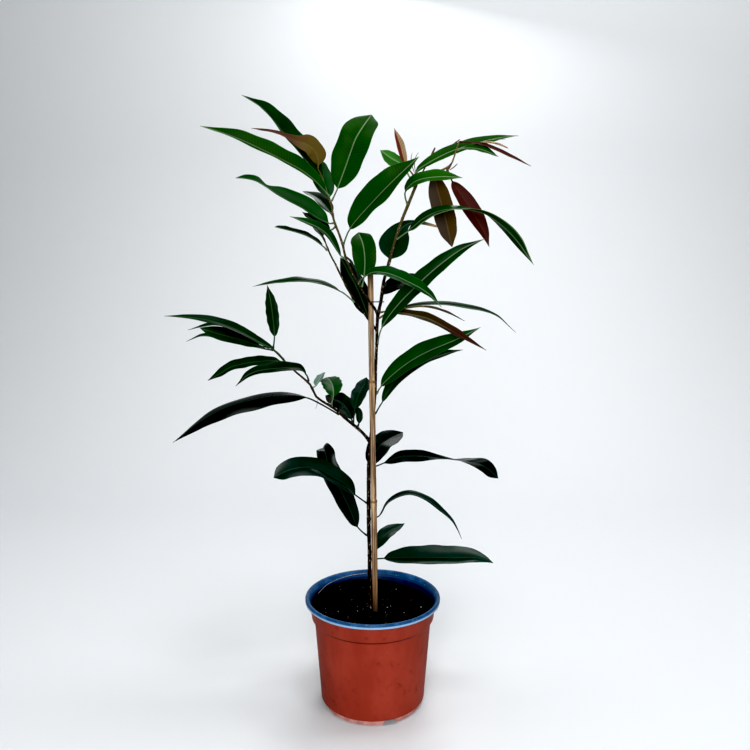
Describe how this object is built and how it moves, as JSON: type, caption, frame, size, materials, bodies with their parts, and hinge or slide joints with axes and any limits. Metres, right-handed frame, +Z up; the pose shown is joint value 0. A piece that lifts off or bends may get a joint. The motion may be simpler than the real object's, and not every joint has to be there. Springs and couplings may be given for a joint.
{
  "type": "potted ficus plant",
  "caption": "Young long-leaved ficus in a round plastic nursery pot of soil, its slim branching stem held upright by a bamboo cane and a wire tie.",
  "frame": {"origin": "centre of the pot's underside, on the surface that the pot stands on", "axes": "+Z up along the plant, +Y from the plant's front to its back, +X to its right as seen from the front"},
  "size_m": [0.425, 0.17, 0.753],
  "materials": {
    "pot_plastic": "terracotta-coloured, satin, with a blue rim",
    "soil": "dark moist peat with pale perlite grains",
    "bamboo": "smooth, slightly waxy, weathered",
    "bark": "thin rough bark with pale lenticels",
    "tie_wire": "plastic-coated wire",
    "root": "dry root",
    "leaf_dark": "leathery leaf with a waxy gloss",
    "leaf_young": "leathery leaf with a soft gloss",
    "leaf_bronze": "bronze-green leaf with a soft gloss",
    "leaf_red": "new maroon leaf with a soft gloss"
  },
  "bodies": {
    "root": {"nursery_pot": "pot_plastic", "potting_soil": "soil", "bamboo_cane": "bamboo", "stem": "bark", "tie": "tie_wire", "root_thread": "root", "leaf_left_01": "leaf_dark", "leaf_left_02": "leaf_dark", "leaf_left_03": "leaf_bronze", "leaf_left_04": "leaf_dark", "leaf_left_05": "leaf_dark", "leaf_left_06": "leaf_dark", "leaf_left_07": "leaf_dark", "leaf_left_08": "leaf_dark", "leaf_left_09": "leaf_dark", "leaf_left_10": "leaf_young", "leaf_left_11": "leaf_dark", "leaf_left_12": "leaf_dark", "leaf_left_13": "leaf_dark", "leaf_left_14": "leaf_young", "leaf_left_15": "leaf_young", "leaf_left_16": "leaf_young", "leaf_left_17": "leaf_dark", "leaf_right_01": "leaf_dark", "leaf_right_02": "leaf_dark", "leaf_right_03": "leaf_bronze", "leaf_right_04": "leaf_bronze", "leaf_right_05": "leaf_dark", "leaf_right_06": "leaf_dark", "leaf_right_07": "leaf_dark", "leaf_right_08": "leaf_dark", "leaf_right_09": "leaf_bronze", "leaf_right_10": "leaf_red", "leaf_right_11": "leaf_young", "leaf_right_12": "leaf_dark", "leaf_right_13": "leaf_young", "leaf_right_14": "leaf_red", "leaf_right_15": "leaf_red", "leaf_right_16": "leaf_young", "leaf_right_17": "leaf_dark", "leaf_trunk_01": "leaf_dark", "leaf_trunk_02": "leaf_dark", "leaf_trunk_03": "leaf_dark", "leaf_trunk_04": "leaf_dark", "leaf_trunk_05": "leaf_dark", "leaf_trunk_06": "leaf_dark", "leaf_trunk_07": "leaf_dark", "leaf_side_01": "leaf_dark", "leaf_side_02": "leaf_dark", "leaf_side_03": "leaf_dark", "leaf_side_04": "leaf_dark", "leaf_side_05": "leaf_dark", "leaf_side_06": "leaf_young", "leaf_side_07": "leaf_dark", "leaf_side_08": "leaf_dark", "leaf_side_09": "leaf_dark", "leaf_side_10": "leaf_young", "leaf_side_11": "leaf_dark", "leaf_side_12": "leaf_dark", "leaf_side_13": "leaf_dark"}
  },
  "joints": []
}
